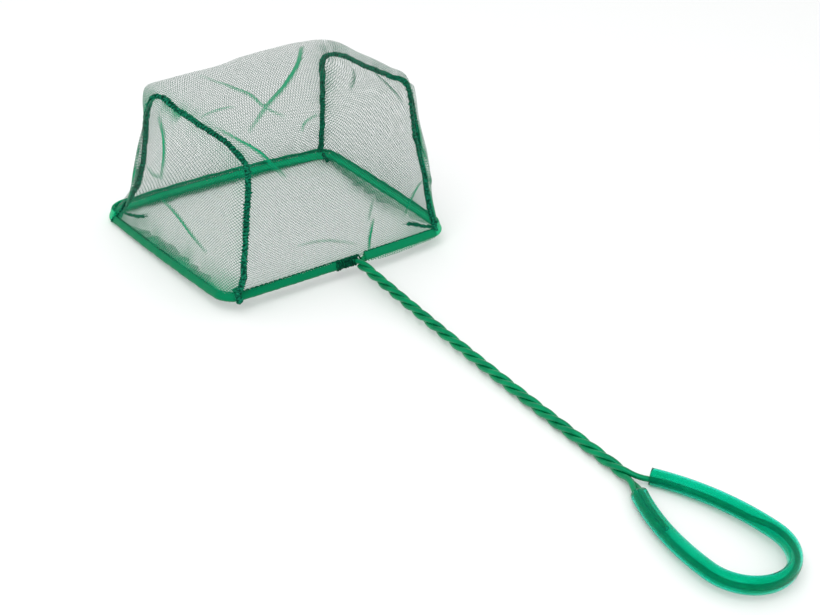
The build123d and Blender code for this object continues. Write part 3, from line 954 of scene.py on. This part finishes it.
def end_panel(name, hem, seam, side, swell):
    """An end panel: u along the hem from front to back, v from the hem up to the seam."""
    seam_points = seen_from_side(seam)

    def surface(u, v):
        edge = at(seam, seam_share(u))
        place = (at(hem, u) + HEM_TOP).lerp(edge, v)
        away = seam_points.find((0, place.y, place.z))[2]
        puff = (1 - math.exp(-away / SWELL_REACH)) * (1 - math.exp(-(place.z / SWELL_RISE) ** 2))
        flat = (place.y, place.z)
        raised, bunched = pressed(flat, END_FOLDS[name])
        patches = LOW_LEAST + patchy(place, LOW_PATCH)
        low = END_HEM_BUNCH[name] * math.exp(-place.z / END_HEM_REACH[name]) * patches
        legs = END_LEGS[name][0] if place.y < 0 else END_LEGS[name][1]
        near = legs * math.exp(-away / SEAM_REACH) * (NEAR_LEAST + patchy(place, NEAR_PATCH))
        loose = min(1, place.z / END_HEM_SLACK, away / END_SEAM_SLACK)
        out = swell * puff + (raised + crinkle(place)) * loose
        return place + Vector((side * out, 0, 0)), min(max(bunched, low, near), 1), flat
    return surface


for side, name, hem, seam, swell in (
    (-1, "left", LEFT_HEM, LEFT_SEAM, LEFT_SWELL),
    (1, "right", RIGHT_HEM, RIGHT_SEAM, RIGHT_SWELL),
):
    end = panel(name + "_mesh", end_panel(name, hem, seam, side, swell), *END_GRID)
    finish_piece(painted(end, BAG_MESH), "bag_mesh", name + "_panel")

# %% [markdown]
# ## Overlocked seams
# An overlocker wraps thread round the cut edges of the cloth, loop after loop. So each seam is a flat core
# with two threads wound around it, one each way: the core is a rolled grid with an oval section, and each
# thread is another one on a helix that follows the same line.

# %% Seams
SEAM_HALF = 1.25
SEAM_THICK = 0.75
SEAM_SIDES = 12
WIDTH_CHANGE = 0.35
WIDTH_SIZE = 2.2
WANDER = 0.5
WANDER_SIZE = 8
WRAP_R = 0.38
WRAP_SIDES = 5
WRAP_PITCH = 1.5
WRAP_STEPS = 8
WRAP_SLACK = 0.6
WRAP_TANGLE = 0.9
KNOT_STEPS = 4


def seam_ups(line):
    """The outward direction along a seam: forwards, then up, then backwards."""
    last = len(line) - 1
    angles = [math.pi * i / last for i in range(last + 1)]
    return [Vector((0, -math.cos(angle), math.sin(angle))) for angle in angles]


def wound(line, ups, half, thick, pitch, steps):
    """A helix around a line with an oval section, and the direction from the line to each of its points."""
    along = lengths(line)
    turns = int(along[-1] / pitch)
    path = []
    spokes = []
    travel = tangents(line)
    for i in range(turns * steps + 1):
        share = i / (turns * steps)
        k = min(int(share * (len(line) - 1)), len(line) - 2)
        angle = ROUND * i / steps
        sideways = travel[k].cross(ups[k]).normalized()
        upwards = sideways.cross(travel[k])
        width = half * (1 + WIDTH_CHANGE * noise.noise(at(line, share) / WIDTH_SIZE))
        spoke = sideways * (width * math.cos(angle)) + upwards * (thick * math.sin(angle))
        path.append(at(line, share) + spoke)
        spokes.append(spoke.normalized())
    return path, spokes


def oval(half, thick):
    """An oval section."""
    return lambda share, angle: (half * math.cos(angle), thick * math.sin(angle))


def joined(name, *parts):
    """Several meshes as one piece."""
    deselect()
    for part in parts:
        part.select_set(True)
    bpy.context.view_layer.objects.active = parts[0]
    bpy.ops.object.join()
    piece = bpy.context.object
    piece.name = name
    piece.data.name = name
    return piece


def wavering(line):
    """A line that wanders a little, as a seam in slack cloth does."""
    return [p + noise.noise_vector(p / WANDER_SIZE) * WANDER for p in line]


def overlock(name, line, ups, half, thick):
    """A flat core of cut cloth with thread wound round it."""
    core = rolled(name + "_core", line, ups, oval(half, thick), SEAM_SIDES)
    parts = [painted(core, SEAM_CORE)]
    for lay in (1, -1):
        path, spokes = wound(line, ups, half, lay * thick, WRAP_PITCH, WRAP_STEPS)
        path = [p + noise.noise_vector(p * lay / WRAP_TANGLE) * WRAP_SLACK for p in path]
        wrap = rolled(name + "_wrap", path, spokes, circle(WRAP_R), WRAP_SIDES)
        parts.append(painted(wrap, SEAM_THREAD))
    return joined(name, *parts)


# How the left seam's two ends turn down over the wire
FRONT_KNOT = {"left": (Vector((0, -1.6, -2.4)), Vector((0, -2.0, -1.2))), "right": ()}
BACK_KNOT = {"left": (Vector((-2.2, 0.6, -0.6)), Vector((-2.6, 1.0, -2.2))), "right": ()}
for name, line in (("left", LEFT_SEAM), ("right", RIGHT_SEAM)):
    front_turn = smooth([line[0] + turn for turn in FRONT_KNOT[name]] + [line[0]], KNOT_STEPS)[:-1]
    back_turn = smooth([line[-1]] + [line[-1] + turn for turn in BACK_KNOT[name]], KNOT_STEPS)[1:]
    line = front_turn + line + back_turn
    sewn = overlock(name + "_overlock", wavering(line), seam_ups(line), SEAM_HALF, SEAM_THICK)
    finish_piece(sewn, "sewing_thread", name + "_seam")

# %% [markdown]
# ## Hem
# The lower edge of each panel is folded round the wire and sewn. The hem is therefore a tube of the same
# mesh, close around the wire, which shines through it. The cut edge of the cloth stands loose beside it, as
# a narrow strip of mesh.

# %% Hem
HEM_R = 1.62
HEM_SIDES = 24
PUCKER = 0.06
PUCKER_RATE = 90
SKEW = 0.05
SKEW_RATE = 37
RISE_CHANGE = 0.06
RISE_RATE = 53
RISE_SPAN = 0.45
SLIT = 4.6
SLIT_LEFT = (HANDLE_X - SLIT, FRONT_EDGE, 0)
SLIT_RIGHT = (HANDLE_X + SLIT, FRONT_EDGE, 0)
HEM_RUNS = {
    "left": LEFT_HEM,
    "right": RIGHT_HEM,
    "back": BACK_HEM,
    "front_left": hoop_part(SLIT_LEFT, LEFT_SEAM_POINTS[0]),
    "front_right": hoop_part(RIGHT_SEAM_POINTS[0], SLIT_RIGHT),
}
HEM_RISE = {"left": 0.8, "right": 2.8, "back": 3.0, "front_left": 0.8, "front_right": 1.2}
# A low value also gives a run of hem the bright sparse colour: painted light on the back and right.
HEM_TIGHT_AND_PAINTED_LIGHT = {"left": 0.8, "right": 0.1, "back": 0.1, "front_left": 0.8, "front_right": 0.7}


def hem_section(rise):
    """A round that puckers a little along its length, drawn up to the edge that is sewn."""
    def section(share, angle):
        pucker = PUCKER * math.sin(share * PUCKER_RATE)
        radius = HEM_R + pucker + SKEW * math.sin(share * SKEW_RATE + 2 * angle)
        from_top = math.atan2(math.cos(angle), math.sin(angle))
        uneven = 1 + RISE_CHANGE * math.sin(share * RISE_RATE)
        lift = rise * uneven * math.exp(-(from_top / RISE_SPAN) ** 2)
        return radius * math.cos(angle), radius * math.sin(angle) + lift
    return section


# %% Cut edges beside the hem
EDGE_GRID = (160, 12)
EDGE_STEP = 0.01
EDGE_GAP = 1.0
EDGE_TOP = 0.6 * HEM_R
EDGE_LEAST = 0.75
EDGE_CHANGE = 0.5
EDGE_PATCH = 6
EDGE_FADE = 0.8
EDGE_CRINKLE = 0.4
EDGE_WAVE = 3
CLUMP_LEAST = 0.5
CLUMP_CHANGE = 0.7
CLUMP_PATCH = 4


def raw_edge(line, side, reach, drop, fullest, density):
    """A strip of cut mesh beside a hem: widest at one share of the run, and thinner away from the hem."""
    total = lengths(line)[-1]

    def surface(u, v):
        root = at(line, u)
        ahead = at(line, u + EDGE_STEP) - at(line, u - EDGE_STEP)
        inward = ahead.cross(UP).normalized()
        if inward.dot(root) > 0:
            inward = -inward
        ramp = u / fullest if u < fullest else (1 - u) / (1 - fullest)
        uneven = EDGE_LEAST + EDGE_CHANGE * patchy(root, EDGE_PATCH)
        width = reach * math.sin(math.pi / 2 * max(ramp, 0)) * uneven
        fall = UP * (EDGE_TOP - (drop + EDGE_TOP) * v ** 0.5)
        place = root + inward * side * (EDGE_GAP + width * v) + fall
        clumps = CLUMP_LEAST + CLUMP_CHANGE * patchy(place, CLUMP_PATCH)
        gathered = min(density * (1 - v) ** EDGE_FADE * clumps, 1)
        wave = UP * EDGE_CRINKLE * crinkle(place * EDGE_WAVE) * v
        return place + wave, gathered, (u * total, v * width)
    return surface


# Each edge: inside the hoop or outside it, its reach, its drop, where it is widest, and its density
RAW_EDGES = {
    "left": (1, 9.0, 0.2, 0.6, 0.85),
    "right": (1, 8.0, 0.6, 0.55, 0.55),
    "back": (1, 5.0, 0.9, 0.5, 0.8),
    "front_left": (1, 3.0, 0.2, 0.5, 0.8),
    "front_right": (-1, 2.2, 1.6, 0.6, 0.6),
}
for run, line in HEM_RUNS.items():
    hem = rolled(run + "_hem_roll", line, [UP] * len(line), hem_section(HEM_RISE[run]), HEM_SIDES)
    # The bunch value makes the hem tight and sets its colour, painted lighter on the back and right.
    tight_and_painted_light = hem.data.attributes.new("bunch", "FLOAT", "POINT")
    for mark in tight_and_painted_light.data:
        mark.value = HEM_TIGHT_AND_PAINTED_LIGHT[run]
    edge = panel(run + "_raw_edge", raw_edge(line, *RAW_EDGES[run]), *EDGE_GRID)
    hem = joined(run + "_hem_roll", painted(hem, HEM_MESH_PAINTED_LIGHT), painted(edge, EDGE_MESH))
    finish_piece(hem, "hem_mesh", run + "_hem")

# %% [markdown]
# ## Stitches
# A row of stitches closes the hem along its upper, inner edge. Each stitch is a short arc of thread, a
# little raised in its middle, and the row is made by one function for all five runs of hem.

# %% Stitching
STITCH_PITCH = 2.3
STITCH_LENGTH = 2.0
STITCH_R = 0.36
STITCH_SIDES = 6
STITCH_IN = 0.75
STITCH_LIFT = 0.75
STITCH_RISES = (0.0, 0.2, 0.27, 0.2, 0.0)


def inner_line(line, rise):
    """A line along the upper, inner edge of a hem."""
    lift = UP * (HEM_R + STITCH_LIFT * rise)
    return [p - Vector((p.x, p.y, 0)).normalized() * STITCH_IN + lift for p in line]


def stitches(name, line):
    """Short arcs of thread along a line."""
    along = lengths(line)
    count = int(along[-1] / STITCH_PITCH)
    half = 0.5 * STITCH_LENGTH / along[-1]
    stops = len(STITCH_RISES)
    parts = []
    for i in range(count):
        middle_share = (i + 0.5) / count
        shares = [middle_share - half + half * k / 2 for k in range(stops)]
        path = [at(line, u) + UP * rise for u, rise in zip(shares, STITCH_RISES)]
        parts.append(rolled(name, path, [UP] * stops, circle(STITCH_R), STITCH_SIDES))
    return joined(name, *parts)


for run, line in HEM_RUNS.items():
    row = stitches(run + "_stitches", inner_line(line, HEM_RISE[run]))
    # The back and right stitches get the paler copy of the thread: painted light.
    sewn_with = PAINTED_LIGHT_THREAD if run in ("back", "right") else STITCH_THREAD
    finish_piece(painted(row, sewn_with), "sewing_thread", run + "_stitching")

# %% [markdown]
# ## Loose ends
# Where a seam ends, the overlocker leaves a tail of chained thread, and a few strands stray from it. Beside
# the handle a few turns of thread close the hem.

# %% Tails
TAIL_HALF = {"left_front": 0.7, "left_back": 0.6, "right_front": 1.0, "right_back": 0.7}
TAIL_THICK = 0.5
TAIL_STEPS = 20
STRAYS = 6
STRAY_R = 0.16
STRAY_SIDES = 5
STRAY_STEP = 7.3
STRAY_START = (1.7, 0.4)
STRAY_SPREAD = 5
STRAY_LIFT = 0.5
STRAY_BEND = 1.5
TAILS = {
    "left_front": [(-55.2, -53.4, 2.6), (-53.8, -52.0, 1.4), (-52.6, -50.8, 1.2)],
    "left_back": [(-61.0, 45.0, 2.8), (-57.0, 41.8, 1.4), (-53.8, 39.6, 1.2)],
    "right_front": [(56.0, -54.0, 2.8), (51.5, -46.5, 1.6), (48.5, -42.0, 1.6)],
    "right_back": [(61.0, 53.0, 2.8), (60.0, 49.0, 1.4), (59.2, 45.5, 1.2)],
}
for name, points in TAILS.items():
    line = wavering(smooth(points, TAIL_STEPS))
    chain = overlock(name + "_chain", line, [UP] * len(line), TAIL_HALF[name], TAIL_THICK)
    threads = [chain]
    for i in range(STRAYS):
        spread = noise.noise_vector(Vector((STRAY_STEP * i, *STRAY_START))) * STRAY_SPREAD
        spread.z = abs(spread.z) * STRAY_LIFT
        path = [p + spread * (k / len(line)) ** STRAY_BEND for k, p in enumerate(line)]
        stray = rolled("stray", path, [UP] * len(path), circle(STRAY_R), STRAY_SIDES)
        threads.append(painted(stray, SEAM_THREAD))
    finish_piece(joined(name + "_thread_end", *threads), "sewing_thread", name + "_tail")

# %% Tack
TACK_HALF = 1.95
TACK_FROM = HANDLE_X - 12.0
TACK_TO = HANDLE_X + 1.5
TACK_LIFT = 0.3
TACK_STEPS = 30
TACK_R = 0.36
TACK_SIDES = 6
TACK_TURN_STEPS = 14
TACK_SLACK = 0.8
TACK_TANGLE = 1.8
# Which way each winding goes, and the distance between its turns
TACK_LAYS = ((1, 1.0), (-1, 1.6))
tack_line = []
for i in range(TACK_STEPS + 1):
    across = TACK_FROM + (TACK_TO - TACK_FROM) * i / TACK_STEPS
    tack_line.append(Vector((across, FRONT_EDGE, TACK_LIFT)))
tack_ups = [UP] * len(tack_line)
turns = []
for lay, pitch in TACK_LAYS:
    path, spokes = wound(tack_line, tack_ups, TACK_HALF, lay * TACK_HALF, pitch, TACK_TURN_STEPS)
    path = [p + noise.noise_vector(p * lay / TACK_TANGLE) * TACK_SLACK for p in path]
    turns.append(rolled("tack_turn", path, spokes, circle(TACK_R), TACK_SIDES))
tack = joined("tack_turns", *turns)
finish_piece(painted(tack, STITCH_THREAD), "sewing_thread", "handle_tack")

# %% [markdown]
# ## Floor and light
# The photo has a plain white ground and soft light from all sides. A wide pale floor takes the shadow, a
# white sky fills it, and one large lamp above and to the left gives the wire its long highlights.

# %% Floor
FLOOR_SIZE = 6
FLOOR_WHITE = (0.92, 0.92, 0.92)
bpy.ops.mesh.primitive_plane_add(size=FLOOR_SIZE)
floor = bpy.context.object
floor.name = "floor"
floor.data.materials.append(new_material("floor_paint", FLOOR_WHITE, roughness=0.9)[0])

# %% Light
SKY_STRENGTH = 0.95
LAMP_POWER = 5.0
LAMP_SIZE = 0.8
LAMP_PLACE = (-0.55, -0.35, 0.9)
world = bpy.data.worlds.new("sky")
bpy.context.scene.world = world
world.use_nodes = True
background = world.node_tree.nodes["Background"]
background.inputs["Color"].default_value = (1, 1, 1, 1)
background.inputs["Strength"].default_value = SKY_STRENGTH
bpy.ops.object.light_add(type="AREA", location=LAMP_PLACE)
lamp = bpy.context.object
lamp.name = "lamp"
lamp.data.energy = LAMP_POWER
lamp.data.size = LAMP_SIZE
lamp.rotation_euler = (Vector((0, 0, 0)) - lamp.location).to_track_quat("-Z", "Y").to_euler()
bpy.context.scene.view_settings.view_transform = "Standard"
